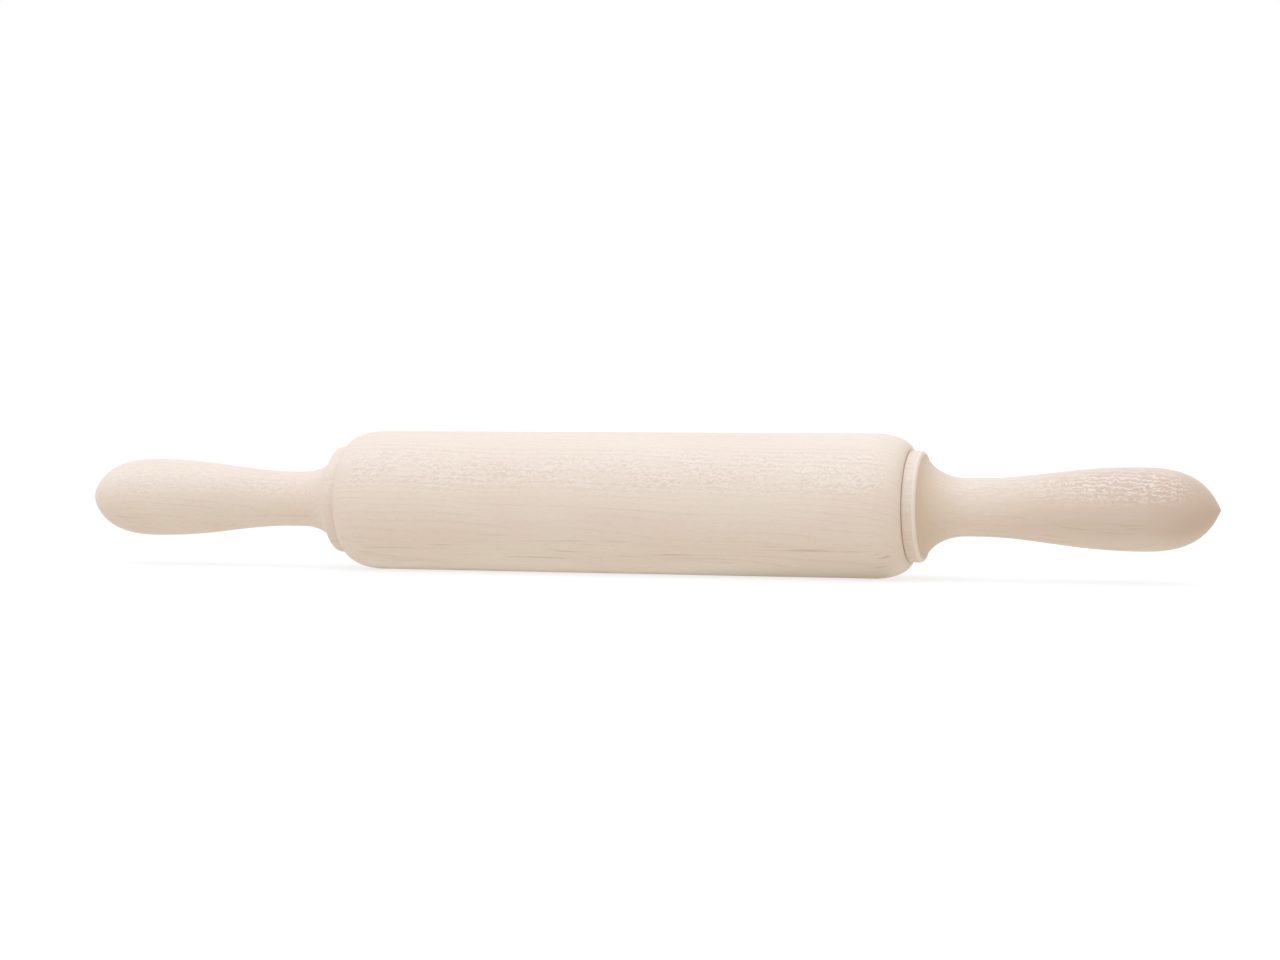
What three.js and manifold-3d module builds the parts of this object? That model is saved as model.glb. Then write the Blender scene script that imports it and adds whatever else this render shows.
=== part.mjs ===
// A revolving wooden rolling pin, in millimetres.
// The pin lies along X with its middle at the origin, and +Z is up.
// Barrel and bushes turn together on a steel axle that both handles are fixed to.
// Each end is built once, looking outward along +X, and the left end is the right one turned half round.

import * as THREE from "three";
import { mergeVertices } from "three/addons/utils/BufferGeometryUtils.js";
import Module from "manifold-3d";

const wasm = await Module();
wasm.setup();

// Barrel
const barrelLength = 246.8;
const barrelRadius = 30;
const shoulderLength = 15.2;
const shoulderDrop = 6.8;

// Handle, from the collar's inner face outward
const handleLength = 124.9;
const collarRadius = 23;
const collarBand = 4.1;
const collarRound = 1.2;
const collarEdgeBreak = 0.4;
const coveLength = 17.7;
const coveStartSlope = THREE.MathUtils.degToRad(72);
const neckRadius = 12;
const neckLength = 5.1;
const gripRadius = 17;
const crownToTip = 31.6;
const tipSlope = THREE.MathUtils.degToRad(68);

// How far the grip's two curves hold the direction they leave each of their ends in
const swellHoldAtNeck = 22.7;
const swellHoldAtCrown = 28.5;
const endHoldAtCrown = 12.6;
const endHoldAtTip = 16.4;

// Axle, a plain rod with bevelled ends
const axleRadius = 5;
const axleInHandle = 45;
const axleEndBevel = 1;

// Flanged bush in each end of the barrel
const bushRadius = 9;
const bushLength = 14;
const bushFlangeRadius = 14;
const bushFlangeThickness = 2;
const bushLeadIn = 1;
const bushMouthBevel = 0.5;

// Thrust washer, thin lock nut and threaded insert at each end
const washerRadius = 10;
const washerThickness = 2;
const washerBevel = 0.4;
const nutAcrossFlats = 16;
const nutThickness = 5;
const nutSides = 6;
const nutBevelSlope = THREE.MathUtils.degToRad(30);
const insertRadius = 7;
const insertLength = 20;
const insertBevel = 0.6;
const insertGrooveWidth = 3;
const insertGrooveDepth = 0.8;
const insertSlotWidth = 1.8;
const insertSlotDepth = 1.6;

// Clearances
const runningGap = 0.2;
const endPlay = 0.1;
const axleClearance = 0.1;
const washerClearance = 0.25;
const seatGap = 0.1;
const boreClearance = 1;
const recessClearance = 1.2;
const axleEndClearance = 2;
const drillPointSlope = THREE.MathUtils.degToRad(31);

// How far a cutting body runs past what it cuts
const overrun = 1;

// Facets round each turned piece, a multiple of four so that one facet of the barrel lies flat underneath
const barrelFacets = 48;
const handleFacets = 48;
const hardwareFacets = 24;
const shoulderSteps = 9;
const roundSteps = 4;
const coveSteps = 7;
const swellSteps = 8;
const endSteps = 8;

// Places along X, measured from the pin's middle
const barrelEnd = barrelLength / 2;
const handleStart = barrelEnd + runningGap;
const washerStart = barrelEnd + endPlay;
const nutStart = washerStart + washerThickness + seatGap;
const insertStart = nutStart + nutThickness + seatGap;
const axleEnd = handleStart + axleInHandle;

// Colours and finishes
const woodFinish = { roughness: 0.62, metalness: 0 };
const barrelWood = new THREE.MeshStandardMaterial({ color: 0xecdbcc, ...woodFinish });
const handleWood = new THREE.MeshStandardMaterial({ color: 0xe6d2bf, ...woodFinish });
const steel = new THREE.MeshStandardMaterial({ color: 0xb9bcc0, roughness: 0.35, metalness: 1 });
const zincPlate = new THREE.MeshStandardMaterial({ color: 0xc9ccd0, roughness: 0.45, metalness: 1 });
const brass = new THREE.MeshStandardMaterial({ color: 0xc9a24e, roughness: 0.38, metalness: 1 });
const nylon = new THREE.MeshStandardMaterial({ color: 0xeeebe2, roughness: 0.5, metalness: 0 });

// A point of a turned piece's outline: how far along the axis, and how far from it.
function at(along, radius) {
  return new THREE.Vector2(along, radius);
}

// The outline is given from the left end of the outside towards the right and back through the bore.
function turned(outline, facets) {
  const profile = outline.map((p) => new THREE.Vector2(p.y, p.x));
  const halfFacet = Math.PI / facets;
  return new THREE.LatheGeometry(profile, facets, halfFacet).rotateZ(-Math.PI / 2);
}

function closed(outline) {
  return [...outline, outline[0].clone()];
}

function mirrored(outline) {
  return outline.map((p) => at(-p.x, p.y)).reverse();
}

function solid(geometry) {
  const bare = new THREE.BufferGeometry();
  bare.setAttribute("position", geometry.getAttribute("position"));
  bare.setIndex(geometry.getIndex());
  const merged = mergeVertices(bare);
  return new wasm.Manifold(
    new wasm.Mesh({
      numProp: 3,
      vertProperties: new Float32Array(merged.getAttribute("position").array),
      triVerts: new Uint32Array(merged.getIndex().array),
    }),
  );
}

function geometryOf(body) {
  const mesh = body.getMesh();
  const geometry = new THREE.BufferGeometry();
  geometry.setAttribute("position", new THREE.BufferAttribute(mesh.vertProperties, mesh.numProp));
  geometry.setIndex(new THREE.BufferAttribute(mesh.triVerts, 1));
  const faceted = geometry.toNonIndexed();
  faceted.computeVertexNormals();
  return faceted;
}

function piece(name, geometry, material) {
  const mesh = new THREE.Mesh(geometry, material);
  mesh.name = name;
  return mesh;
}

// Barrel: elliptical shoulders, a through bore, and a stepped seat for the flanged bush in each end.
function barrel() {
  const shoulder = new THREE.EllipseCurve(
    barrelEnd - shoulderLength,
    barrelRadius - shoulderDrop,
    shoulderLength,
    shoulderDrop,
    Math.PI / 2,
    0,
    true,
  ).getPoints(shoulderSteps);
  const flangeFloor = barrelEnd - bushFlangeThickness - seatGap;
  const seatFloor = barrelEnd - bushLength - seatGap;
  const rightHalf = [
    ...shoulder,
    at(barrelEnd, bushFlangeRadius + seatGap),
    at(flangeFloor, bushFlangeRadius + seatGap),
    at(flangeFloor, bushRadius + seatGap),
    at(seatFloor, bushRadius + seatGap),
    at(seatFloor, axleRadius + boreClearance),
  ];
  const outline = closed([...rightHalf, ...mirrored(rightHalf)]);
  return piece("barrel", turned(outline, barrelFacets), barrelWood);
}

// Cove: part of an ellipse that starts at a slope against the axis and ends level with the neck.
function cove(start, end, slope) {
  const run = end.x - start.x;
  const drop = start.y - end.y;
  const sweep = Math.acos(1 / ((Math.tan(slope) * run) / drop - 1));
  const alongRadius = run / Math.sin(sweep);
  const acrossRadius = drop / (1 - Math.cos(sweep));
  const bottom = (3 * Math.PI) / 2;
  return new THREE.EllipseCurve(
    end.x,
    end.y + acrossRadius,
    alongRadius,
    acrossRadius,
    bottom - sweep,
    bottom,
    false,
  ).getPoints(coveSteps);
}

// Handle: collar, cove, neck and swelling grip with a pointed end, bored from the collar's face.
function handle(name) {
  const roundCentre = at(collarBand, collarRadius - collarRound);
  const collarCurve = new THREE.EllipseCurve(
    roundCentre.x,
    roundCentre.y,
    collarRound,
    collarRound,
    Math.PI / 2,
    Math.PI / 2 - coveStartSlope,
    true,
  ).getPoints(roundSteps);
  const coveStart = collarCurve[collarCurve.length - 1];
  const neckStart = at(coveStart.x + coveLength, neckRadius);
  const neckEnd = at(neckStart.x + neckLength, neckRadius);
  const crown = at(handleLength - crownToTip, gripRadius);
  const tip = at(handleLength, 0);
  const swell = new THREE.CubicBezierCurve(
    neckEnd,
    at(neckEnd.x + swellHoldAtNeck, neckRadius),
    at(crown.x - swellHoldAtCrown, gripRadius),
    crown,
  ).getPoints(swellSteps);
  const end = new THREE.CubicBezierCurve(
    crown,
    at(crown.x + endHoldAtCrown, gripRadius),
    at(tip.x - endHoldAtTip * Math.cos(tipSlope), endHoldAtTip * Math.sin(tipSlope)),
    tip,
  ).getPoints(endSteps);

  const recessFloor = insertStart - handleStart;
  const recessRadius = washerRadius + recessClearance;
  const insertFloor = recessFloor + insertLength + seatGap;
  const insertSeatRadius = insertRadius + seatGap;
  const axleBoreRadius = axleRadius + axleClearance;
  const axleBoreFloor = axleInHandle + axleEndClearance;
  const drillPoint = axleBoreRadius * Math.tan(drillPointSlope);
  const outline = [
    at(axleBoreFloor + drillPoint, 0),
    at(axleBoreFloor, axleBoreRadius),
    at(insertFloor, axleBoreRadius),
    at(insertFloor, insertSeatRadius),
    at(recessFloor, insertSeatRadius),
    at(recessFloor, recessRadius),
    at(0, recessRadius),
    at(0, collarRadius - collarEdgeBreak),
    at(collarEdgeBreak, collarRadius),
    ...collarCurve,
    ...cove(coveStart, neckStart, coveStartSlope).slice(1),
    ...swell,
    ...end.slice(1),
  ];
  const mesh = piece(name, turned(outline, handleFacets), handleWood);
  mesh.position.x = handleStart;
  return mesh;
}

// Axle: one plain rod from the bottom of one handle's bore to the other's.
function axle() {
  const rightHalf = [at(axleEnd - axleEndBevel, axleRadius), at(axleEnd, axleRadius - axleEndBevel), at(axleEnd, 0)];
  const outline = [...mirrored(rightHalf), ...rightHalf];
  return piece("axle_rod", turned(outline, hardwareFacets), steel);
}

// Bush: a sleeve with a flange outside, bevelled where it enters the barrel and at both mouths of its bore.
function bush(name) {
  const inner = barrelEnd - bushLength;
  const flangeBack = barrelEnd - bushFlangeThickness;
  const boreRadius = axleRadius + axleClearance;
  const outline = closed([
    at(inner, bushRadius - bushLeadIn),
    at(inner + bushLeadIn, bushRadius),
    at(flangeBack, bushRadius),
    at(flangeBack, bushFlangeRadius),
    at(barrelEnd - bushMouthBevel, bushFlangeRadius),
    at(barrelEnd, bushFlangeRadius - bushMouthBevel),
    at(barrelEnd, boreRadius + bushMouthBevel),
    at(barrelEnd - bushMouthBevel, boreRadius),
    at(inner + bushMouthBevel, boreRadius),
    at(inner, boreRadius + bushMouthBevel),
  ]);
  return piece(name, turned(outline, hardwareFacets), nylon);
}

// Thrust washer: a flat ring, bevelled on its outer edge at the nut's side.
function thrustWasher(name) {
  const outer = washerStart + washerThickness;
  const boreRadius = axleRadius + washerClearance;
  const outline = closed([
    at(washerStart, boreRadius),
    at(washerStart, washerRadius),
    at(outer - washerBevel, washerRadius),
    at(outer, washerRadius - washerBevel),
    at(outer, boreRadius),
  ]);
  return piece(name, turned(outline, hardwareFacets), zincPlate);
}

// Lock nut: a thin hexagon whose corners are turned off by a cone on both faces.
function lockNut(name) {
  const flatRadius = nutAcrossFlats / 2;
  const cornerRadius = flatRadius / Math.cos(Math.PI / nutSides);
  const nutEnd = nutStart + nutThickness;
  const hexagon = turned(
    [at(nutStart, 0), at(nutStart, cornerRadius), at(nutEnd, cornerRadius), at(nutEnd, 0)],
    nutSides,
  );
  const coneRadius = cornerRadius + overrun;
  const coneDepth = (coneRadius - flatRadius) * Math.tan(nutBevelSlope);
  const cones = turned(
    [
      at(nutStart, 0),
      at(nutStart, flatRadius),
      at(nutStart + coneDepth, coneRadius),
      at(nutEnd - coneDepth, coneRadius),
      at(nutEnd, flatRadius),
      at(nutEnd, 0),
    ],
    hardwareFacets,
  );
  const bore = turned(boreThrough(nutStart, nutThickness), hardwareFacets);
  const body = solid(hexagon).intersect(solid(cones)).subtract(solid(bore));
  return piece(name, geometryOf(body), zincPlate);
}

// A plug the size of the axle's clearance hole, for boring a piece that starts at a place along the axis.
function boreThrough(start, length) {
  const boreRadius = axleRadius + axleClearance;
  return [
    at(start - overrun, 0),
    at(start - overrun, boreRadius),
    at(start + length + overrun, boreRadius),
    at(start + length + overrun, 0),
  ];
}

// Threaded insert: two lands with a groove between for the glue, and a driving slot across its face.
function handleInsert(name) {
  const end = insertStart + insertLength;
  const grooveStart = insertStart + (insertLength - insertGrooveWidth) / 2;
  const grooveEnd = grooveStart + insertGrooveWidth;
  const boreRadius = axleRadius + axleClearance;
  const body = turned(
    closed([
      at(insertStart, boreRadius),
      at(insertStart, insertRadius),
      at(grooveStart, insertRadius),
      at(grooveStart, insertRadius - insertGrooveDepth),
      at(grooveEnd, insertRadius - insertGrooveDepth),
      at(grooveEnd, insertRadius),
      at(end - insertBevel, insertRadius),
      at(end, insertRadius - insertBevel),
      at(end, boreRadius),
    ]),
    hardwareFacets,
  );
  const slot = new THREE.BoxGeometry(
    insertSlotDepth + overrun,
    insertSlotWidth,
    (insertRadius + overrun) * 2,
  ).translate(insertStart + (insertSlotDepth - overrun) / 2, 0, 0);
  return piece(name, geometryOf(solid(body).subtract(solid(slot))), brass);
}

// Everything at one end of the pin, looking outward along +X.
function endAssembly(side) {
  const end = new THREE.Group();
  end.add(
    bush(`bush_${side}`),
    thrustWasher(`thrust_washer_${side}`),
    lockNut(`lock_nut_${side}`),
    handleInsert(`handle_insert_${side}`),
    handle(`handle_${side}`),
  );
  return end;
}

const rollingPin = new THREE.Group();
rollingPin.name = "rolling_pin";
const leftEnd = endAssembly("left");
leftEnd.rotation.z = Math.PI;
rollingPin.add(barrel(), axle(), endAssembly("right"), leftEnd);

export default rollingPin;
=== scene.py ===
"""Dresses a revolving wooden rolling pin: finely turned wood round a fixed frame of solids.

The pin lies along X with its middle at the origin, +Z is up, and lengths are in metres.
"""

import math
from typing import NamedTuple

import bmesh
import bpy
from bpy.props import FloatProperty, FloatVectorProperty, IntProperty, PointerProperty
from bpy.types import Operator, Panel, PropertyGroup
from mathutils import Matrix, Vector


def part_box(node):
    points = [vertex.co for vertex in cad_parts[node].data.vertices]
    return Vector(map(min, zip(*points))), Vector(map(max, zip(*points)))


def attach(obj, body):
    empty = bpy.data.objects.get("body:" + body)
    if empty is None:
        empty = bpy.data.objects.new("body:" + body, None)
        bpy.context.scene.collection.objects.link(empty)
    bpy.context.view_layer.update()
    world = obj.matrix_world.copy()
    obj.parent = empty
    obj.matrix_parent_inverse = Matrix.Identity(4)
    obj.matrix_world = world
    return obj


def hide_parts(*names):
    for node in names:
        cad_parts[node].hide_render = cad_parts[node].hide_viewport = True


bl_info = {
    "name": "Rolling Pin",
    "version": (1, 0, 0),
    "blender": (4, 5, 0),
    "location": "3D View > Sidebar > Rolling Pin",
    "description": "Turned wood, hardware and a plain studio for a revolving rolling pin",
    "category": "Object",
}

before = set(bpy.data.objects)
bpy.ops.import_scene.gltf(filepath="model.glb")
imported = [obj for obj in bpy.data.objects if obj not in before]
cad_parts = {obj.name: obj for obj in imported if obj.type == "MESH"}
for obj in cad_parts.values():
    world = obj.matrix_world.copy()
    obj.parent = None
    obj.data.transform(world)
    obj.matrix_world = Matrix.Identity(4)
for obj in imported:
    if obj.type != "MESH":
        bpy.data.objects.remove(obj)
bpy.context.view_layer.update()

MILLIMETRES = 1000
SIDES = {"left": -1, "right": 1}
PIN_WAY = (1, 0, 0)


def corners(node):
    """A node's corners, each as its place along the pin's axis and its distance from it."""
    return [(v.co.x, math.hypot(v.co.y, v.co.z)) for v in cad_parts[node].data.vertices]


def reach(node):
    """How far a node reaches from the pin's axis."""
    return max(radius for along, radius in corners(node))


def span(node):
    """Where a node starts and ends along the axis."""
    low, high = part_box(node)
    return low.x, high.x


def sleeve_radius():
    """The bush's radius behind its flange."""
    middle = sum(span("bush_right")) / 2
    return max(radius for along, radius in corners("bush_right") if along < middle)


def flange_thickness():
    """How thick the bush's flange is."""
    halfway_out = (sleeve_radius() + reach("bush_right")) / 2
    back = min(along for along, radius in corners("bush_right") if radius > halfway_out)
    return span("bush_right")[1] - back


def length_prop(name, description, default):
    """A length that a user can change, in metres."""
    return FloatProperty(
        name=name, description=description, default=default, min=0, unit="LENGTH", subtype="DISTANCE"
    )


def angle_prop(name, description, degrees):
    """An angle that a user can change."""
    return FloatProperty(
        name=name, description=description, default=math.radians(degrees), unit="ROTATION", subtype="ANGLE"
    )


def colour_prop(name, description, default):
    """A linear colour."""
    return FloatVectorProperty(
        name=name, description=description, default=default, min=0, size=3, subtype="COLOR"
    )


class PinBarrel(PropertyGroup):
    """Sizes of the barrel."""

    radius: length_prop("Radius", "Radius of the barrel", reach("barrel"))
    shoulder_length: length_prop("Shoulder length", "Length of the rounded shoulder at each end", 0.0152)
    shoulder_drop: length_prop("Shoulder drop", "How far the shoulder falls to its edge", 0.0068)
    seat_gap: length_prop("Seat gap", "Gap between the barrel and the bush seated in it", 0.0001)
    bore_radius: length_prop("Bore radius", "Radius of the bore between the bushes", 0.006)
    mouth_round: length_prop("Mouth round", "Rounding of the edge round the bush's flange", 0.0003)
    facets: IntProperty(name="Facets", description="Facets round the barrel", default=256, min=24)


class PinHandle(PropertyGroup):
    """Sizes of each handle, from the collar's inner face outward."""

    collar_radius: length_prop("Collar radius", "Radius of the collar", reach("handle_right"))
    collar_band: length_prop("Collar band", "Width of the collar's straight band", 0.0041)
    collar_round: length_prop("Collar round", "Rounding of the collar's outer edge", 0.0012)
    edge_round: length_prop("Edge round", "Rounding of the collar's inner edge", 0.0001)
    cove_length: length_prop("Cove length", "Length of the cove between collar and neck", 0.0177)
    cove_slope: angle_prop("Cove slope", "Slope at which the cove leaves the collar", 72)
    neck_radius: length_prop("Neck radius", "Radius of the neck", 0.012)
    neck_length: length_prop("Neck length", "Length of the neck's straight stretch", 0.0051)
    grip_radius: length_prop("Grip radius", "Radius of the grip's thickest part", 0.017)
    crown_to_tip: length_prop("Crown to tip", "From the grip's thickest part to the tip", 0.0316)
    tip_slope: angle_prop("Tip slope", "Slope at which the end runs into the tip", 68)
    swell_hold_at_neck: length_prop("Swell hold at neck", "How far the swell is level at the neck", 0.0227)
    swell_hold_at_crown: length_prop("Swell hold at crown", "How far it is level at the crown", 0.0285)
    end_hold_at_crown: length_prop("End hold at crown", "How far the end is level at the crown", 0.0126)
    end_hold_at_tip: length_prop("End hold at tip", "How far the end holds the tip's slope", 0.0164)
    recess_clearance: length_prop("Recess clearance", "Room round the washer in its recess", 0.0012)
    seat_gap: length_prop("Seat gap", "Gap between the handle and the insert seated in it", 0.0001)
    axle_clearance: length_prop("Axle clearance", "Room round the axle in the handle's bore", 0.0001)
    axle_end_clearance: length_prop("Axle end clearance", "Room past the axle's end in the handle", 0.002)
    drill_slope: angle_prop("Drill slope", "Slope of the drill's point at the bottom of the bore", 31)
    facets: IntProperty(name="Facets", description="Facets round each handle", default=192, min=24)


class PinHardware(PropertyGroup):
    """Sizes and colours of the axle and what turns and locks on it."""

    axle_bevel: length_prop("Axle bevel", "Bevel on each end of the axle", 0.001)
    thread_pitch: length_prop("Thread pitch", "Pitch of the axle's thread", 0.0015)
    thread_depth: length_prop("Thread depth", "Depth of the axle's thread", 0.0009)
    thread_run_out: length_prop("Thread run-out", "Length over which the thread fades in", 0.002)
    steps_per_turn: IntProperty(
        name="Steps per turn", description="Rings for each turn of the thread", default=12, min=4
    )
    axle_clearance: length_prop("Axle clearance", "Room round the axle in the bush", 0.0001)
    washer_clearance: length_prop("Washer clearance", "Room round the axle in the washer", 0.00025)
    bush_lead_in: length_prop("Bush lead-in", "Rounding of the end that enters the barrel", 0.001)
    bush_edge_round: length_prop("Bush edge round", "Rounding of the bush's other edges", 0.0004)
    washer_edge_round: length_prop("Washer edge round", "Rounding of the washer's outer edge", 0.0004)
    facets: IntProperty(name="Facets", description="Facets round each piece", default=72, min=24)
    steel: colour_prop("Steel", "Colour of the axle", (0.5, 0.51, 0.53))
    zinc: colour_prop("Zinc plate", "Colour of the washers and nuts", (0.62, 0.64, 0.67))
    brass: colour_prop("Brass", "Colour of the inserts", (0.66, 0.45, 0.16))
    nylon: colour_prop("Nylon", "Colour of the bushes", (0.86, 0.84, 0.76))


class PinWood(PropertyGroup):
    """Colours and figure of the turned wood."""

    pale: colour_prop("Pale wood", "Colour of the clear wood", (0.79, 0.653, 0.559))
    pink: colour_prop("Pink wood", "Colour of the pinker patches", (0.781, 0.625, 0.535))
    brown: colour_prop("Brown wood", "Colour of the browner wood at one end", (0.572, 0.402, 0.338))
    ring: colour_prop("Ring line", "Colour of the thin late wood lines", (0.628, 0.48, 0.368))
    streak: colour_prop("Streak", "Colour of the long thin darker streaks", (0.486, 0.368, 0.288))
    ray_dark: colour_prop("Dark ray", "Colour of the darker ray flecks", (0.468, 0.34, 0.27))
    ray_light: colour_prop("Light ray", "Colour of the lighter ray flecks", (0.86, 0.738, 0.642))
    # This colour also carries painted shade, most on the right handle's cove and tip.
    end_grain: colour_prop("End grain", "Colour of wood cut across the grain", (0.5, 0.33, 0.2))
    ring_pitch: length_prop("Ring pitch", "Distance between growth rings", 0.0023)
    # The browner side: partly where the heart lay, partly painted light that keeps the underside paler.
    brown_side_way: FloatVectorProperty(
        name="Heart way",
        description="Which way the browner heart of the tree lay",
        default=(0.0, -0.954, 0.3),
        size=3,
        subtype="DIRECTION",
    )
    grain_slope: FloatProperty(
        name="Grain slope", description="How fast the grain climbs along the pin", default=0.03
    )


class PinStudio(PropertyGroup):
    """Camera, floor and lights."""

    turn: angle_prop("Turn", "How far the camera stands round towards the right end", 16.46)
    tilt: angle_prop("Tilt", "How far the camera looks down", 2.02)
    distance: length_prop("Distance", "From the camera to the pin's middle, along the view", 1.1558)
    aim_left: length_prop("Aim left", "How far left of the camera's axis the pin's middle lies", 0.0068)
    aim_down: length_prop("Aim down", "How far below the camera's axis the pin's middle lies", 0.00965)
    floor_width: length_prop("Floor width", "Width of the floor", 12)
    sky_left: colour_prop("Sky left", "Cooler light from above on the left", (1.02, 1.075, 1.16))
    sky_right: colour_prop("Sky right", "Dimmer light from above on the right", (0.8, 0.824, 0.755))
    bounce: colour_prop("Bounce", "Light that the floor sends back up", (0.86, 0.863, 0.8))
    shade: colour_prop("Shade", "Light that comes back from under the barrel", (0.48, 0.455, 0.39))
    shade_width: length_prop("Shade width", "How far that shade reaches to each side", 0.015)
    shade_growth: length_prop("Shade growth", "Its further reach at the barrel's right end", 0.018)
    key: FloatProperty(name="Key", description="Strength of the large soft lamp", default=1.45, min=0)
    key_colour: colour_prop("Key colour", "Colour of the large soft lamp", (0.7, 0.84, 1.0))
    key_height: angle_prop("Key height", "How high the lamp stands", 77)
    key_side: angle_prop("Key side", "How far the lamp stands to the left of the front", 20)
    key_spread: angle_prop("Key spread", "How wide the lamp looks from the pin", 80)


class Shader:
    """The nodes of a new material, or of a world, and short ways to add and join them."""

    def __init__(self, name, owner=None):
        self.owner = owner or bpy.data.materials.new(name)
        self.owner.use_nodes = True
        self.tree = self.owner.node_tree
        self.tree.nodes.clear()

    def join(self, value, socket):
        """Links an output, or a node's first output, or sets a plain number, vector or colour."""
        if isinstance(value, bpy.types.Node):
            value = value.outputs[0]
        if isinstance(value, bpy.types.NodeSocket):
            self.tree.links.new(value, socket)
        elif socket.type == "RGBA":
            socket.default_value = (*value, 1.0)
        else:
            socket.default_value = value

    def add(self, kind, *values, settings=None, **inputs):
        """A node of one kind, with its settings, and values for its first inputs and its named ones."""
        node = self.tree.nodes.new("ShaderNode" + kind)
        for key, value in (settings or {}).items():
            setattr(node, key, value)
        for value, socket in zip(values, node.inputs):
            self.join(value, socket)
        for key, value in inputs.items():
            self.join(value, node.inputs[key.replace("_", " ")])
        return node

    def math(self, operation, *values):
        """One step of arithmetic on numbers."""
        return self.add("Math", *values, settings={"operation": operation}).outputs[0]

    def weighted(self, *parts):
        """The sum of values, each times its weight."""
        total, *rest = [self.math("MULTIPLY", value, weight) for value, weight in parts]
        for part in rest:
            total = self.math("ADD", total, part)
        return total

    def dot(self, vector, direction):
        """How far a vector reaches along a direction."""
        node = self.add("VectorMath", vector, direction, settings={"operation": "DOT_PRODUCT"})
        return node.outputs["Value"]

    def parts(self, vector):
        """A vector's three numbers."""
        return tuple(self.add("SeparateXYZ", vector).outputs)

    def spot_and_normal(self):
        """The place on the piece in millimetres, and the way that its surface faces."""
        here = self.add("TexCoord")
        scaling = {"operation": "SCALE"}
        spot = self.add("VectorMath", here.outputs["Object"], settings=scaling, Scale=MILLIMETRES)
        return spot.outputs["Vector"], here.outputs["Normal"]

    def noise(self, place, lengths, detail, roughness=0.5, distortion=0.0):
        """Noise from 0 to 1 whose features have a length of their own along each number of a place."""
        counts = [self.math("DIVIDE", value, length) for value, length in zip(place, lengths)]
        node = self.add(
            "TexNoise",
            Vector=self.add("CombineXYZ", *counts),
            Scale=1.0,
            Detail=detail,
            Roughness=roughness,
            Distortion=distortion,
        )
        return node.outputs["Fac"]

    def step(self, value, low, high):
        """A smooth step from 0 at low to 1 at high."""
        smooth = {"interpolation_type": "SMOOTHSTEP"}
        node = self.add("MapRange", settings=smooth, Value=value, From_Min=low, From_Max=high)
        return node.outputs["Result"]

    def share(self, value, rises, strength):
        """A share that rises with a value, from nothing to its full strength, between two limits."""
        return self.math("MULTIPLY", self.step(value, *rises), strength)

    def mix(self, share, first, second):
        """A colour between two."""
        node = self.add("Mix", settings={"data_type": "RGBA"}, Factor=share, A=first, B=second)
        return node.outputs["Result"]

    def surface(self, shader, output="OutputMaterial"):
        """Ends the nodes in a shader, and gives back the material or world."""
        self.add(output, Surface=shader)
        return self.owner


class Figure(NamedTuple):
    """How one piece's wood differs from the others'. Lengths and places are in millimetres."""

    turn: float  # how far the plank is turned about the pin
    shade: float  # how much of the darker ring colour lies all over
    flecks: float  # strength of the ray flecks
    fleck_edge: float  # how far the surface has to follow the rays before flecks show
    fleck_length: float
    fleck_height: float
    fleck_rows: float  # distance from one row of flecks to the next
    patchy: float  # how far the flecks thin out between their crowds
    streaks: float  # strength of the long streaks
    streaks_along: float  # how far the streaks are moved towards the right end
    end_grain_and_shade: float  # how dark wood cut across the grain is painted up to the neck: its own darker colour plus painted shade
    tip_end_grain_and_shade: float = 0.0  # the same past the grip's thickest part, where the right tip also takes painted shade
    edge_lightening: float = 0.0  # how much lighter the collar's rounded outer edge is painted
    brown: float = 0.0  # how brown the wood is on its browner side, partly heart colour and partly painted light
    brown_from: float = 0.0  # where the brown starts
    brown_to: float = 1.0  # where it has its full strength
    flecks_from: float = 0.0  # where faint flecks start to grow
    flecks_full: float = 0.0  # where they have their full strength, or 0 for everywhere


FIGURES = {
    "barrel": Figure(
        turn=math.radians(30),
        shade=0.0,
        flecks=0.6,
        fleck_edge=0.9,
        fleck_length=2.4,
        fleck_height=3.2,
        fleck_rows=1.3,
        patchy=0.75,
        streaks=0.5,
        streaks_along=62,
        end_grain_and_shade=0.1,
    ),
    "left": Figure(
        turn=math.radians(30),
        shade=0.04,
        flecks=0.42,
        fleck_edge=0.8,
        fleck_length=2.4,
        fleck_height=2.8,
        fleck_rows=1.15,
        patchy=0.6,
        streaks=0.25,
        streaks_along=0,
        end_grain_and_shade=0.08,
        tip_end_grain_and_shade=0.05,
    ),
    "right": Figure(
        turn=math.radians(40),
        shade=0.15,
        flecks=0.95,
        fleck_edge=0.77,
        fleck_length=3.8,
        fleck_height=3.0,
        fleck_rows=1.2,
        patchy=0.35,
        streaks=0.4,
        streaks_along=0,
        # much of this is painted shade on the cove and tip, beyond the end grain's own colour
        end_grain_and_shade=0.5,
        tip_end_grain_and_shade=0.3,
        # the collar's rounded outer edge is painted lighter
        edge_lightening=0.72,
        # the brown also holds painted light: the underside is left paler, as if lit from below
        brown=0.84,
        brown_from=150,
        brown_to=245,
        flecks_from=162,
        flecks_full=206,
    ),
}


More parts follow.
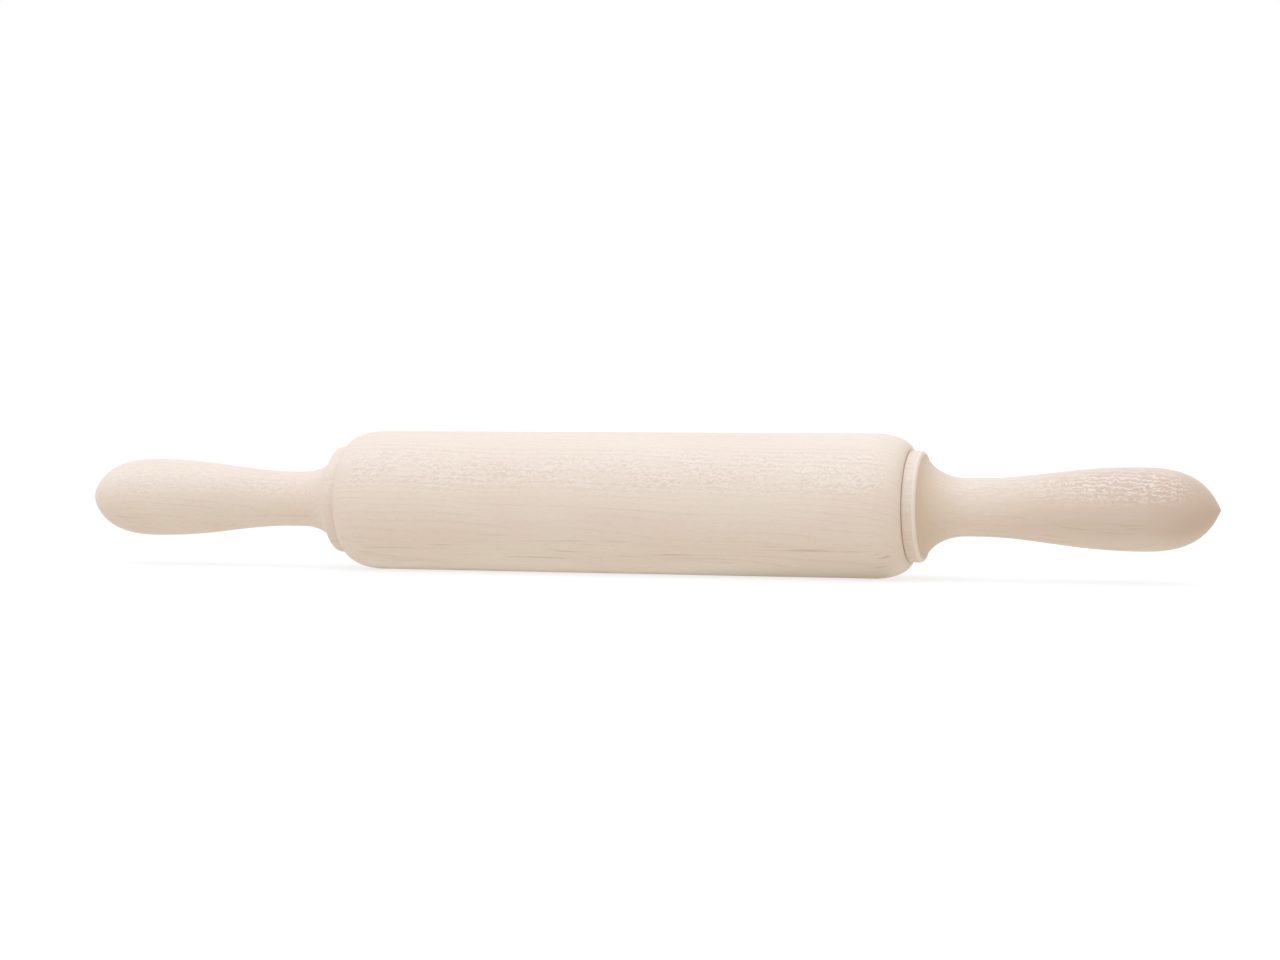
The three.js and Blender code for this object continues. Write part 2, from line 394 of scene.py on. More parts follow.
class TurnedWood(Shader):
    """Pale close-grained wood cut from one plank, with rings, rays and streaks that run through it.

    The rings lie across the tree's radius and the rays along it, so ray flecks show only on the side
    where the surface follows the rays. Lengths are in millimetres.
    """

    # How long each feature is along the pin, along the tree's radius and along its rings.
    WANDER = (70, 18, 18)
    PATCHES = (60, 16, 16)
    FIBRES = (4, 0.4, 0.4)
    RAY_CROWDS = (9, 9, 3)
    RAY_DASHES = (1.3, 0.7, 0.24)
    STREAKS = (32, 3.2, 1.2)
    # The same, but along the radius this one is counted in rings.
    RING_FADES = (45, 2.2, 9)
    # This one changes along the pin only.
    TOOL_MARKS = (0.28,)

    # How far the grain wanders along the radius, and the share of that along the rings.
    SWAY = 5.0
    SWAY_ASIDE = 0.45

    # How far the place wanders where the heart's brown starts, and how much the brown gains where
    # the wood is cut across the grain.
    BROWN_WANDER = 40.0
    BROWN_ACROSS = 0.5

    # How thick a ray is, and how many rays are cut for each step of the noise that places them.
    RAY_THICKNESS = 0.34
    RAY_SHEETS = 4.4
    # How far the surface follows the rays where the flecks have their full strength.
    FLECKS_FULL_AT = 0.985
    # Strength of the dark and light parts of a fleck, and the share that flecks have before they grow.
    DARK_RAYS = 0.38
    LIGHT_RAYS = 0.65
    FAINT_FLECKS = 0.3

    # How much darker a tool mark makes the wood that is cut across the grain.
    MARK_STRENGTH = 0.3
    # The distance over which the collar's lighter painted edge fades inward.
    LIGHTENED_EDGE_FADE = 0.6

    # How rough the sanded wood is, and how much the fibres add.
    SANDED = 0.56
    FIBRE_ROUGHNESS = 0.16

    def __init__(self, name, look, figure):
        super().__init__(name)
        self.look = look
        self.figure = figure
        tangent_way = (0, -math.cos(figure.turn), math.sin(figure.turn))
        radial_way = (0, math.sin(figure.turn), math.cos(figure.turn))
        self.spot, self.normal = self.spot_and_normal()
        self.quarter_side = self.facing(tangent_way)
        self.flat_side = self.facing(radial_way)
        self.cut_across = self.facing(PIN_WAY)

        # The grain climbs a little along the pin and wanders, so rings and rays aren't quite flat.
        self.along = self.dot(self.spot, PIN_WAY)
        self.tangent = self.dot(self.spot, tangent_way)
        climb = self.math("MULTIPLY", self.along, look.grain_slope)
        self.radial = self.math("ADD", self.dot(self.spot, radial_way), climb)
        sway = self.about_zero(self.grain_noise(self.WANDER, detail=1.0), self.SWAY)
        self.radial = self.math("ADD", self.radial, sway)
        self.tangent = self.math("ADD", self.tangent, self.math("MULTIPLY", sway, self.SWAY_ASIDE))

    def facing(self, way):
        """How far the surface faces a way or its opposite."""
        return self.math("ABSOLUTE", self.dot(self.normal, way))

    def about_zero(self, noise, width):
        """Noise moved to lie about zero, times a width."""
        return self.math("MULTIPLY", self.math("SUBTRACT", noise, 0.5), width)

    def grain_noise(self, lengths, **settings):
        """Noise whose features lie along the grain."""
        return self.noise((self.along, self.radial, self.tangent), lengths, **settings)

    def lay(self, colour, share):
        """Lays a share of a colour over the wood so far."""
        self.colour = self.mix(share, self.colour, colour)

    def clear_wood(self):
        """Paler and pinker patches, the brown at one end with painted light in it, and fine fibres."""
        patches = self.grain_noise(self.PATCHES, detail=2.0)
        self.colour = self.mix(self.step(patches, low=0.35, high=0.7), self.look.pale, self.look.pink)
        if self.figure.brown:
            self.lay(self.look.brown, self.brown_share(patches))
        self.fibres = self.grain_noise(self.FIBRES, detail=3.0, roughness=0.6)
        fibre_share = self.share(self.fibres, rises=(0.32, 0.75), strength=0.22)
        self.lay(self.look.ring, self.math("ADD", fibre_share, self.figure.shade))

    def brown_share(self, patches):
        """How brown the wood is: more towards the end of the pin, and on the front and upper side, partly
        the heart's colour and partly painted light that leaves the underside paler.
        """
        figure = self.figure
        place = self.math("ADD", self.along, self.about_zero(patches, self.BROWN_WANDER))
        browned = self.share(place, rises=(figure.brown_from, figure.brown_to), strength=figure.brown)
        across = self.math("MULTIPLY", self.cut_across, self.BROWN_ACROSS)
        toward_brown_side = self.math("ADD", self.dot(self.normal, self.look.brown_side_way), across)
        return self.math("MULTIPLY", browned, self.step(toward_brown_side, low=0.1, high=1.0))

    def growth_rings(self):
        """A thin darker line at the end of each ring, some fainter than others."""
        rings = self.math("DIVIDE", self.radial, self.look.ring_pitch * MILLIMETRES)
        through_ring = self.math("FRACT", rings)
        ring_end = self.step(self.math("SUBTRACT", 1.0, through_ring), low=0.0, high=0.05)
        late_wood = self.step(through_ring, low=0.55, high=0.97)
        ring_line = self.math("MULTIPLY", late_wood, ring_end)
        fades = self.noise((self.along, rings, self.tangent), self.RING_FADES, detail=1.0)
        strength = self.share(fades, rises=(0.3, 0.75), strength=0.3)
        self.lay(self.look.ring, self.math("MULTIPLY", ring_line, strength))

    def ray_flecks(self):
        """Rays are thin sheets along the radius, and show as wavy flecks where the surface follows them."""
        figure = self.figure
        sheet = (figure.fleck_length, figure.fleck_height, self.RAY_THICKNESS)
        rays = self.math("MULTIPLY", self.grain_noise(sheet, detail=1.2, distortion=0.8), self.RAY_SHEETS)
        rows = self.math("DIVIDE", self.radial, figure.fleck_rows)
        sheets = self.math("PINGPONG", self.math("ADD", rows, rays), 1.0)
        band = self.ray_band()
        dark_rays = self.math("MULTIPLY", self.step(sheets, low=0.55, high=1.0), band)
        self.light_rays = self.math("MULTIPLY", self.step(sheets, low=0.5, high=0.1), band)
        self.lay(self.look.ray_dark, self.math("MULTIPLY", dark_rays, self.DARK_RAYS))
        self.lay(self.look.ray_light, self.math("MULTIPLY", self.light_rays, self.LIGHT_RAYS))

    def ray_band(self):
        """Strength of the flecks, which come in crowds along the side that follows the rays."""
        figure = self.figure
        followed = (figure.fleck_edge, self.FLECKS_FULL_AT)
        band = self.share(self.quarter_side, rises=followed, strength=figure.flecks)
        crowds = self.grain_noise(self.RAY_CROWDS, detail=1.0)
        crowding = self.share(crowds, rises=(0.3, 0.6), strength=figure.patchy)
        band = self.math("MULTIPLY", band, self.math("ADD", crowding, 1 - figure.patchy))
        if figure.flecks_full:
            growth = (figure.flecks_from, figure.flecks_full)
            grown = self.share(self.along, rises=growth, strength=1 - self.FAINT_FLECKS)
            band = self.math("MULTIPLY", band, self.math("ADD", grown, self.FAINT_FLECKS))
        return band

    def ray_dashes(self):
        """Fine dashes of rays seen end on, all over."""
        self.dashes = self.grain_noise(self.RAY_DASHES, detail=1.0)
        self.lay(self.look.ray_dark, self.share(self.dashes, rises=(0.6, 0.76), strength=0.16))

    def streaks(self):
        """Long thin darker streaks on the flat side."""
        along = self.math("SUBTRACT", self.along, self.figure.streaks_along)
        streaks = self.noise((along, self.radial, self.tangent), self.STREAKS, detail=1.2)
        share = self.share(streaks, rises=(0.6, 0.74), strength=self.figure.streaks)
        on_flat_side = self.step(self.flat_side, low=0.72, high=0.93)
        self.lay(self.look.streak, self.math("MULTIPLY", share, on_flat_side))

    def end_grain(self):
        """Wood cut across the grain is darker, partly its own colour and partly painted shade, and keeps
        faint rings from the turning tool.
        """
        figure = self.figure
        self.tool_marks = self.noise((self.along,), self.TOOL_MARKS, detail=1.0)
        neck_to_crown = [place * MILLIMETRES for place in neck_and_crown()]
        change = figure.tip_end_grain_and_shade - figure.end_grain_and_shade
        tip_change = self.share(self.math("ABSOLUTE", self.along), rises=neck_to_crown, strength=change)
        # The share darkens end grain with its own colour and with painted shade.
        share = self.math("MULTIPLY", self.cut_across, self.math("ADD", tip_change, figure.end_grain_and_shade))
        marked = self.math("MULTIPLY", self.math("MULTIPLY", self.tool_marks, share), self.MARK_STRENGTH)
        self.lay(self.look.end_grain, self.math("ADD", share, marked))

    def lightened_edge(self):
        """The collar's rounded outer edge, painted lighter where it faces out along the pin."""
        across, up = self.parts(self.spot)[1:]
        square = self.math("ADD", self.math("MULTIPLY", across, across), self.math("MULTIPLY", up, up))
        size = bpy.context.scene.pin_handle
        foot = (size.collar_radius - size.collar_round) * MILLIMETRES
        on_rim = self.step(self.math("SQRT", square), foot - self.LIGHTENED_EDGE_FADE, foot)
        facing_out = self.step(self.dot(self.normal, PIN_WAY), low=0.02, high=0.2)
        share = self.math("MULTIPLY", self.math("MULTIPLY", on_rim, facing_out), self.figure.edge_lightening)
        self.lay(self.look.ray_light, share)

    def finished(self):
        """The material, matt, with the relief that sanding leaves."""
        marks = self.math("MULTIPLY", self.tool_marks, self.cut_across)
        heights = ((self.fibres, 0.5), (self.dashes, 0.35), (marks, 0.8), (self.light_rays, 0.3))
        fibre_roughness = self.math("MULTIPLY", self.fibres, self.FIBRE_ROUGHNESS)
        wood = self.add(
            "BsdfPrincipled",
            Base_Color=self.colour,
            Roughness=self.math("ADD", self.SANDED, fibre_roughness),
            IOR=1.45,
            Specular_IOR_Level=0.35,
            Sheen_Weight=0.12,
            Sheen_Roughness=0.5,
            Normal=self.add("Bump", Strength=0.35, Distance=0.00012, Height=self.weighted(*heights)),
        )
        return self.surface(wood)


def turned_wood(name, look, figure):
    """The wood of one turned piece, laid up from its clear wood to its outer edge painted lighter."""
    wood = TurnedWood(name, look, figure)
    wood.clear_wood()
    wood.growth_rings()
    wood.ray_flecks()
    wood.ray_dashes()
    wood.streaks()
    wood.end_grain()
    # Paints the collar's rounded outer edge lighter.
    if figure.edge_lightening:
        wood.lightened_edge()
    return wood.finished()


def neck_and_crown():
    """How far from the pin's middle each handle's neck ends and its grip is thickest."""
    size = bpy.context.scene.pin_handle
    face, tip = span("handle_right")
    neck = face + size.collar_band + size.collar_round + size.cove_length + size.neck_length
    return neck, tip - size.crown_to_tip


# How long each feature of metal and nylon is along the pin and each way across it, in millimetres.
TURNING_LINES = (0.12, 6, 6)
DULL_PATCHES = (3, 3, 3)
MILKY_CLOUDS = (5, 5, 5)
ORANGE_PEEL = (0.5, 0.5, 0.5)


def darkened(colour, share):
    """A colour times a share."""
    return tuple(channel * share for channel in colour)


def plain_metal(name, colour, roughness, dullest):
    """Machined metal with fine turning lines, whose colour falls to a share where it is dullest."""
    metal = Shader(name)
    spot = metal.parts(metal.spot_and_normal()[0])
    lines = metal.noise(spot, TURNING_LINES, detail=2.0)
    dull = metal.noise(spot, DULL_PATCHES, detail=3.0)
    dulling = metal.weighted((lines, 0.5), (dull, 0.5))
    machined = metal.add(
        "BsdfPrincipled",
        Base_Color=metal.mix(dulling, colour, darkened(colour, dullest)),
        Metallic=1.0,
        Roughness=metal.math("ADD", roughness, metal.math("MULTIPLY", dull, 0.15)),
        Normal=metal.add("Bump", Strength=0.25, Distance=0.00003, Height=lines),
    )
    return metal.surface(machined)


def moulded_nylon(name, colour):
    """Natural nylon: waxy, slightly milky, with a faint orange peel."""
    nylon = Shader(name)
    spot = nylon.parts(nylon.spot_and_normal()[0])
    clouds = nylon.noise(spot, MILKY_CLOUDS, detail=2.0)
    peel = nylon.noise(spot, ORANGE_PEEL, detail=2.0)
    waxy = nylon.add(
        "BsdfPrincipled",
        Base_Color=nylon.mix(clouds, colour, darkened(colour, 0.92)),
        Roughness=nylon.math("ADD", 0.42, nylon.math("MULTIPLY", peel, 0.12)),
        Subsurface_Weight=0.15,
        Subsurface_Scale=0.002,
        Normal=nylon.add("Bump", Strength=0.2, Distance=0.00004, Height=peel),
    )
    return nylon.surface(waxy)


# Angles on an outline that runs outward, along the outside and back in through the bore.
BACK = math.pi
OUTSIDE = math.pi / 2
FRONT = 0
INSIDE = 1.5 * math.pi


def arc(centre, radii, start, end, steps):
    """Points on part of an ellipse, from one angle to another, both ends included."""
    points = []
    for i in range(steps + 1):
        angle = start + (end - start) * i / steps
        points.append((centre[0] + radii[0] * math.cos(angle), centre[1] + radii[1] * math.sin(angle)))
    return points


def rounding(along, radius, size, start, steps):
    """Points on a quarter round about a centre, from the angle where it starts."""
    return arc((along, radius), (size, size), start, start - math.pi / 2, steps)


def curve(start, first_hold, last_hold, end, steps):
    """Points on a cubic curve, both ends included, that leaves and arrives along two holds."""
    guides = (start, first_hold, last_hold, end)
    points = []
    for i in range(steps + 1):
        t = i / steps
        u = 1 - t
        shares = (u**3, 3 * u * u * t, 3 * u * t * t, t**3)
        points.append(tuple(sum(share * guide[n] for share, guide in zip(shares, guides)) for n in (0, 1)))
    return points


def mirrored(outline):
    """The same outline at the other end, in the order that carries it on."""
    return [(-along, radius) for along, radius in reversed(outline)]


def ring_of(along, radius, facets):
    """Points round the axis at one place, at one radius or at a radius for each angle."""
    points = []
    for i in range(facets):
        angle = math.tau * i / facets
        reached = radius(angle) if callable(radius) else radius
        points.append((along, -reached * math.sin(angle), reached * math.cos(angle)))
    return points


def skin(name, rings, crease=math.radians(32)):
    """A closed piece from rings of points, where a ring of one point closes an end on the axis."""
    mesh = bmesh.new()
    rings = [[mesh.verts.new(point) for point in ring] for ring in rings]
    if len(rings[0]) > 1:
        rings.append(rings[0])
    for first, second in zip(rings, rings[1:]):
        facets = max(len(first), len(second))
        for i in range(facets):
            j = (i + 1) % facets
            if len(first) == 1:
                mesh.faces.new((first[0], second[j], second[i]))
            elif len(second) == 1:
                mesh.faces.new((first[i], first[j], second[0]))
            else:
                mesh.faces.new((first[i], first[j], second[j], second[i]))
    bmesh.ops.recalc_face_normals(mesh, faces=mesh.faces)
    data = bpy.data.meshes.new(name)
    mesh.to_mesh(data)
    mesh.free()
    data.shade_smooth()
    data.set_sharp_from_angle(angle=crease)
    piece = bpy.data.objects.new(name, data)
    bpy.context.scene.collection.objects.link(piece)
    return piece


def turn_outline(name, outline, facets):
    """A solid turned about X from (along, radius) points, which run outward and back through the bore.

    An outline that starts and ends on the axis closes there, and any other closes on itself.
    """
    rings = [ring_of(along, radius, facets) if radius else [(along, 0, 0)] for along, radius in outline]
    return skin(name, rings)


def put_at_end(piece, side):
    """Turns a piece made for the right end half round when it is for the left."""
    if SIDES[side] < 0:
        piece.data.transform(Matrix.Rotation(math.pi, 4, "Y"))


def dress(piece, material, node, body):
    """Gives a piece its material, and lets it stand for a node on a body."""
    piece.data.materials.append(material)
    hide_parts(node)
    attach(piece, body)


def cover(node, material):
    """Gives a carried node a better material."""
    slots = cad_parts[node].data.materials
    slots.clear()
    slots.append(material)


class PIN_OT_barrel(Operator):
    """Turn the barrel, with elliptical shoulders, a through bore and a seat for each bush"""

    bl_idname = "pin.barrel"
    bl_label = "Barrel"

    SHOULDER_STEPS = 36
    MOUTH_STEPS = 4
    STRAIGHT_RUNS = 24

    def execute(self, context):
        size = context.scene.pin_barrel
        half = span("barrel")[1]
        flange_radius = reach("bush_right") + size.seat_gap
        seat_radius = sleeve_radius() + size.seat_gap
        flange_floor = half - flange_thickness() - size.seat_gap
        seat_floor = span("bush_right")[0] - size.seat_gap
        shoulder = arc(
            (half - size.shoulder_length, size.radius - size.shoulder_drop),
            (size.shoulder_length, size.shoulder_drop),
            OUTSIDE,
            FRONT,
            self.SHOULDER_STEPS,
        )
        rim = size.mouth_round
        right = [
            *shoulder,
            *rounding(half - rim, flange_radius + rim, rim, FRONT, self.MOUTH_STEPS),
            (flange_floor, flange_radius),
            (flange_floor, seat_radius),
            (seat_floor, seat_radius),
            (seat_floor, size.bore_radius),
        ]
        straight = half - size.shoulder_length
        runs = self.STRAIGHT_RUNS
        top = [(-straight + 2 * straight * i / runs, size.radius) for i in range(1, runs)]
        outline = [*right, *mirrored(right), *top]
        piece = turn_outline("turned_barrel", outline, size.facets)
        wood = turned_wood("barrel_wood", context.scene.pin_wood, FIGURES["barrel"])
        dress(piece, wood, "barrel", "barrel")
        return {"FINISHED"}


class PIN_OT_handles(Operator):
    """Turn both handles: collar, cove, neck and swelling grip, bored from the collar's face"""

    bl_idname = "pin.handles"
    bl_label = "Handles"

    EDGE_STEPS = 4
    COLLAR_STEPS = 12
    COVE_STEPS = 28
    GRIP_STEPS = 36

    def execute(self, context):
        outline = self.outline(context.scene.pin_handle)
        look = context.scene.pin_wood
        for side in SIDES:
            piece = turn_outline("turned_handle_" + side, outline, context.scene.pin_handle.facets)
            piece.data.transform(Matrix.Translation((span("handle_right")[0], 0, 0)))
            put_at_end(piece, side)
            wood = turned_wood("handle_wood_" + side, look, FIGURES[side])
            dress(piece, wood, "handle_" + side, "handles")
        return {"FINISHED"}

    def outline(self, size):
        """The handle's outline from the bore's bottom to the tip, measured from the collar's face."""
        face, tip = span("handle_right")
        edge = size.edge_round
        return [
            *self.bore(face, size),
            *rounding(edge, size.collar_radius - edge, edge, BACK, self.EDGE_STEPS),
            *self.outside(tip - face, size),
        ]

    def bore(self, face, size):
        """The axle's bore from its bottom, the insert's seat, and the recess round the washer and nut."""
        bore_radius = reach("axle_rod") + size.axle_clearance
        bore_floor = span("axle_rod")[1] - face + size.axle_end_clearance
        insert_radius = reach("handle_insert_right") + size.seat_gap
        insert_floor = span("handle_insert_right")[1] - face + size.seat_gap
        recess_radius = reach("thrust_washer_right") + size.recess_clearance
        recess_floor = span("handle_insert_right")[0] - face
        return [
            (bore_floor + bore_radius * math.tan(size.drill_slope), 0),
            (bore_floor, bore_radius),
            (insert_floor, bore_radius),
            (insert_floor, insert_radius),
            (recess_floor, insert_radius),
            (recess_floor, recess_radius),
            (0, recess_radius),
        ]

    def outside(self, length, size):
        """The collar, the cove, the neck, and the grip to its tip."""
        collar = arc(
            (size.collar_band, size.collar_radius - size.collar_round),
            (size.collar_round, size.collar_round),
            OUTSIDE,
            OUTSIDE - size.cove_slope,
            self.COLLAR_STEPS,
        )
        cove_start = collar[-1]
        neck_start = (cove_start[0] + size.cove_length, size.neck_radius)
        neck_end = (neck_start[0] + size.neck_length, size.neck_radius)
        crown = (length - size.crown_to_tip, size.grip_radius)
        swell = curve(
            neck_end,
            (neck_end[0] + size.swell_hold_at_neck, size.neck_radius),
            (crown[0] - size.swell_hold_at_crown, size.grip_radius),
            crown,
            self.GRIP_STEPS,
        )
        tip_inset = size.end_hold_at_tip * math.cos(size.tip_slope)
        tip_rise = size.end_hold_at_tip * math.sin(size.tip_slope)
        end = curve(
            crown,
            (crown[0] + size.end_hold_at_crown, size.grip_radius),
            (length - tip_inset, tip_rise),
            (length, 0),
            self.GRIP_STEPS,
        )
        return [*collar, *self.cove(cove_start, neck_start, size.cove_slope)[1:], *swell, *end[1:]]

    def cove(self, start, end, slope):
        """Part of an ellipse that starts at a slope against the axis and ends level with the neck."""
        run = end[0] - start[0]
        drop = start[1] - end[1]
        sweep = math.acos(1 / (math.tan(slope) * run / drop - 1))
        radii = (run / math.sin(sweep), drop / (1 - math.cos(sweep)))
        return arc((end[0], end[1] + radii[1]), radii, INSIDE - sweep, INSIDE, self.COVE_STEPS)


class PIN_OT_axle(Operator):
    """Turn the steel axle and cut a thread on both of its ends"""

    bl_idname = "pin.axle"
    bl_label = "Axle"

    # The shares of the pitch that the thread's flat roots and crests take.
    ROOT = 1 / 4
    CREST = 1 / 8

    def execute(self, context):
        size = context.scene.pin_hardware
        radius = reach("axle_rod")
        end = span("axle_rod")[1]
        bevel_start = end - size.axle_bevel
        plain_end = span("lock_nut_right")[0] - size.thread_run_out
        threaded = bevel_start - plain_end
        steps = math.ceil(threaded / size.thread_pitch * size.steps_per_turn)
        places = [plain_end + threaded * i / steps for i in range(steps + 1)]
        rings = []
        for along in [*(-place for place in reversed(places)), *places]:
            depth = size.thread_depth * min(1, (abs(along) - plain_end) / size.thread_run_out)
            rings.append(ring_of(along, self.thread(along / size.thread_pitch, radius, depth), size.facets))
        rim = radius - size.axle_bevel
        ends = [[(-end, 0, 0)], ring_of(-end, rim, size.facets)]
        rings = [*ends, *rings, ring_of(end, rim, size.facets), [(end, 0, 0)]]
        piece = skin("threaded_axle", rings)
        steel = plain_metal("ground_steel", size.steel, roughness=0.24, dullest=0.8)
        dress(piece, steel, "axle_rod", "handles")
        return {"FINISHED"}

    def thread(self, turns, radius, depth):
        """The radius at each angle of a right-hand thread with flat crests and roots."""

        def cut(angle):
            from_root = abs(2 * ((turns - angle / math.tau) % 1) - 1)
            rise = (from_root - self.ROOT) / (1 - self.CREST - self.ROOT)
            return radius - depth * (1 - min(1, max(0, rise)))

        return cut


class PIN_OT_bushes(Operator):
    """Mould the flanged bush in each end of the barrel, with soft edges"""

    bl_idname = "pin.bushes"
    bl_label = "Bushes"

    NOSE_STEPS = 5
    EDGE_STEPS = 3

    def execute(self, context):
        size = context.scene.pin_hardware
        inner, outer = span("bush_right")
        sleeve = sleeve_radius()
        flange = reach("bush_right")
        bore = reach("axle_rod") + size.axle_clearance
        back = outer - flange_thickness()
        nose = size.bush_lead_in
        rim = size.bush_edge_round
        outline = [
            *rounding(inner + nose, sleeve - nose, nose, BACK, self.NOSE_STEPS),
            (back, sleeve),
            *rounding(back + rim, flange - rim, rim, BACK, self.EDGE_STEPS),
            *rounding(outer - rim, flange - rim, rim, OUTSIDE, self.EDGE_STEPS),
            *rounding(outer - rim, bore + rim, rim, FRONT, self.EDGE_STEPS),
            *rounding(inner + rim, bore + rim, rim, INSIDE, self.EDGE_STEPS),
        ]
        nylon = moulded_nylon("bush_nylon", size.nylon)
        for side in SIDES:
            piece = turn_outline("moulded_bush_" + side, outline, size.facets)
            put_at_end(piece, side)
            dress(piece, nylon, "bush_" + side, "barrel")
        return {"FINISHED"}


class PIN_OT_washers(Operator):
    """Stamp the thrust washers, rounded on the side that the die pushed"""

    bl_idname = "pin.washers"
    bl_label = "Thrust washers"

    EDGE_STEPS = 4

    def execute(self, context):
        size = context.scene.pin_hardware
        inner, outer = span("thrust_washer_right")
        radius = reach("thrust_washer_right")
        bore = reach("axle_rod") + size.washer_clearance
        rim = size.washer_edge_round
        outline = [
            (inner, bore),
            (inner, radius),
            *rounding(outer - rim, radius - rim, rim, OUTSIDE, self.EDGE_STEPS),
            (outer, bore),
        ]
        zinc = plain_metal("zinc_plate", size.zinc, roughness=0.32, dullest=0.85)
        for side in SIDES:
            piece = turn_outline("stamped_washer_" + side, outline, size.facets)
            put_at_end(piece, side)
            dress(piece, zinc, "thrust_washer_" + side, "handles")
        return {"FINISHED"}


class PIN_OT_nuts(Operator):
    """Plate the lock nuts with zinc"""

    bl_idname = "pin.nuts"
    bl_label = "Lock nuts"

    def execute(self, context):
        colour = context.scene.pin_hardware.zinc
        zinc = plain_metal("zinc_plate_nut", colour, roughness=0.36, dullest=0.85)
        for side in SIDES:
            cover("lock_nut_" + side, zinc)
        return {"FINISHED"}


class PIN_OT_inserts(Operator):
    """Machine the threaded inserts from brass"""

    bl_idname = "pin.inserts"
    bl_label = "Handle inserts"

    def execute(self, context):
        colour = context.scene.pin_hardware.brass
        brass = plain_metal("machined_brass", colour, roughness=0.28, dullest=0.8)
        for side in SIDES:
            cover("handle_insert_" + side, brass)
        return {"FINISHED"}


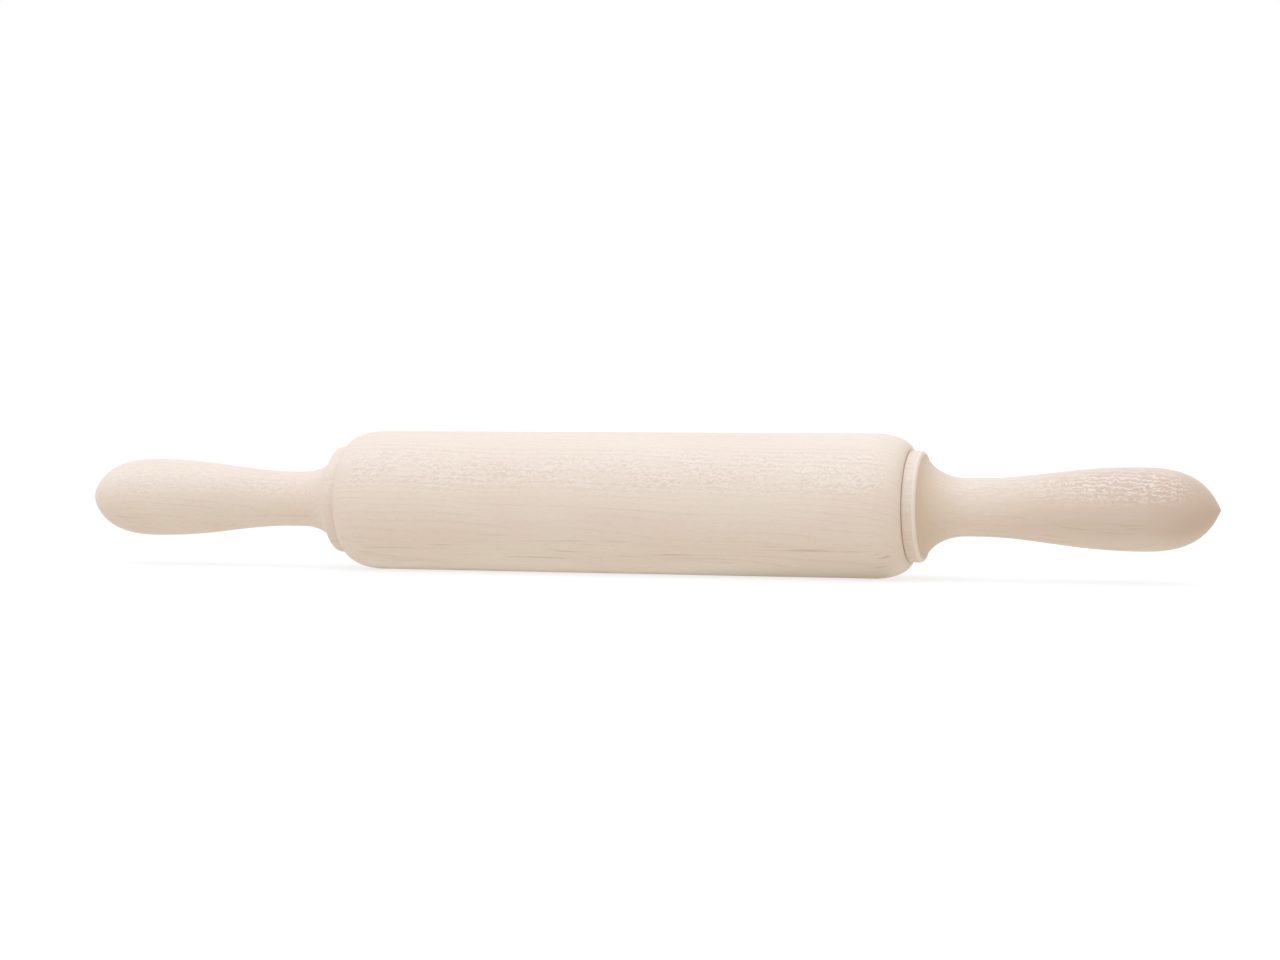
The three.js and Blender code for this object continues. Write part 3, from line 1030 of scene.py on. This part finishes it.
class PIN_OT_studio(Operator):
    """Set the camera, the pale floor and the soft lights"""

    bl_idname = "pin.studio"
    bl_label = "Studio"

    # The picture is this many pixels wide, and the lens this many pixels long.
    PICTURE_WIDTH = 1280
    LENS_PIXELS = 2725
    SENSOR_WIDTH = 36

    # The floor takes its faint shadow on a grey, and its own glow lifts that grey to white.
    WHITE = (1.0, 1.0, 1.0)
    FLOOR_GREY = (0.3, 0.3, 0.3)
    FLOOR_GLOW = 0.7

    def execute(self, context):
        size = context.scene.pin_studio
        context.scene.view_settings.view_transform = "Standard"
        self.camera(context.scene, size)
        self.floor(context.scene, size)
        self.sky(context.scene, size)
        self.lamp(context.scene, size)
        return {"FINISHED"}

    def camera(self, scene, size):
        """A camera that has the pin's middle a little to the left of its axis and below it."""
        level = math.cos(size.tilt)
        way = (-math.sin(size.turn) * level, math.cos(size.turn) * level, -math.sin(size.tilt))
        forward = Vector(way)
        right = Vector((math.cos(size.turn), math.sin(size.turn), 0))
        up = right.cross(forward)
        lens = bpy.data.cameras.new("camera")
        lens.sensor_width = self.SENSOR_WIDTH
        lens.lens = self.LENS_PIXELS / self.PICTURE_WIDTH * self.SENSOR_WIDTH
        lens.clip_start = 0.01
        lens.clip_end = 100
        camera = bpy.data.objects.new("camera", lens)
        camera.matrix_world = Matrix((right, up, -forward)).transposed().to_4x4()
        camera.location = size.aim_left * right + size.aim_down * up - size.distance * forward
        scene.collection.objects.link(camera)
        scene.camera = camera

    def floor(self, scene, size):
        """A floor that the barrel lies on."""
        half = size.floor_width / 2
        height = -scene.pin_barrel.radius
        square = [(x * half, y * half, height) for x, y in ((-1, -1), (1, -1), (1, 1), (-1, 1))]
        data = bpy.data.meshes.new("floor")
        data.from_pydata(square, [], [(0, 1, 2, 3)])
        data.materials.append(self.floor_paper(size))
        floor = bpy.data.objects.new("floor", data)
        scene.collection.objects.link(floor)

    def floor_paper(self, size):
        """White paper that keeps a faint shadow and sends warm light back up at the pin."""
        paper = Shader("floor_paper")
        x, y, _ = paper.parts(paper.add("TexCoord").outputs["Object"])
        barrel_end = span("barrel")[1]
        growth = paper.share(x, rises=(0.0, barrel_end), strength=size.shade_growth)
        shade_edge = paper.math("ADD", growth, size.shade_width)
        beside = paper.step(paper.math("ABSOLUTE", y), 0.0, shade_edge)
        past_end = paper.step(paper.math("ABSOLUTE", x), barrel_end - size.shade_width, barrel_end)
        tone = paper.mix(paper.math("MAXIMUM", beside, past_end), size.shade, size.bounce)
        sent_back = paper.add("Emission", Color=tone, Strength=1)
        shaded = paper.add("BsdfDiffuse", Color=self.FLOOR_GREY)
        lit = paper.add("Emission", Color=self.WHITE, Strength=self.FLOOR_GLOW)
        shown = paper.add("AddShader", shaded, lit)
        return paper.surface(paper.add("MixShader", self.seen_directly(paper), sent_back, shown))

    def sky(self, scene, size):
        """Even light from above, cooler on the left and dimmer on the right, that shows as white."""
        scene.world = bpy.data.worlds.new("studio")
        sky = Shader(None, scene.world)
        rightward = sky.dot(sky.add("TexCoord").outputs["Generated"], PIN_WAY)
        right_share = sky.math("ADD", sky.math("MULTIPLY", rightward, 0.5), 0.5)
        tone = sky.mix(right_share, size.sky_left, size.sky_right)
        tone = sky.mix(self.seen_directly(sky), tone, self.WHITE)
        sky.surface(sky.add("Background", Color=tone), output="OutputWorld")

    def seen_directly(self, shader):
        """1 where the camera, a reflection or a clear piece looks, and 0 for light on the pin."""
        path = shader.add("LightPath")
        mirror = shader.math("MAXIMUM", path.outputs["Is Camera Ray"], path.outputs["Is Glossy Ray"])
        return shader.math("MAXIMUM", mirror, path.outputs["Is Transmission Ray"])

    def lamp(self, scene, size):
        """One large soft lamp high in front."""
        lamp = bpy.data.lights.new("key", "SUN")
        lamp.energy = size.key
        lamp.color = size.key_colour
        lamp.angle = size.key_spread
        key = bpy.data.objects.new("key", lamp)
        level = math.cos(size.key_height)
        side = -math.sin(size.key_side) * level
        key.location = (side, -math.cos(size.key_side) * level, math.sin(size.key_height))
        key.rotation_euler = (-key.location).to_track_quat("-Z", "Y").to_euler()
        scene.collection.objects.link(key)


class PIN_PT_panel(Panel):
    """Lists the pieces and the studio"""

    bl_idname = "PIN_PT_panel"
    bl_label = "Rolling Pin"
    bl_space_type = "VIEW_3D"
    bl_region_type = "UI"
    bl_category = "Rolling Pin"

    def draw(self, context):
        for operator in OPERATORS:
            self.layout.operator(operator.bl_idname)
        for name in GROUPS:
            box = self.layout.box()
            group = getattr(context.scene, name)
            for key in group.bl_rna.properties.keys():
                if key not in {"rna_type", "name"}:
                    box.prop(group, key)


GROUPS = {
    "pin_barrel": PinBarrel,
    "pin_handle": PinHandle,
    "pin_hardware": PinHardware,
    "pin_wood": PinWood,
    "pin_studio": PinStudio,
}
OPERATORS = (
    PIN_OT_barrel,
    PIN_OT_handles,
    PIN_OT_axle,
    PIN_OT_bushes,
    PIN_OT_washers,
    PIN_OT_nuts,
    PIN_OT_inserts,
    PIN_OT_studio,
)


def register():
    for group in GROUPS.values():
        bpy.utils.register_class(group)
    for name, group in GROUPS.items():
        setattr(bpy.types.Scene, name, PointerProperty(type=group))
    for kind in (*OPERATORS, PIN_PT_panel):
        bpy.utils.register_class(kind)


def unregister():
    for kind in reversed((*OPERATORS, PIN_PT_panel)):
        bpy.utils.unregister_class(kind)
    for name in GROUPS:
        delattr(bpy.types.Scene, name)
    for group in reversed(GROUPS.values()):
        bpy.utils.unregister_class(group)


def main():
    register()
    bpy.ops.pin.barrel()
    bpy.ops.pin.handles()
    bpy.ops.pin.axle()
    bpy.ops.pin.bushes()
    bpy.ops.pin.washers()
    bpy.ops.pin.nuts()
    bpy.ops.pin.inserts()
    bpy.ops.pin.studio()


if __name__ == "__main__":
    main()
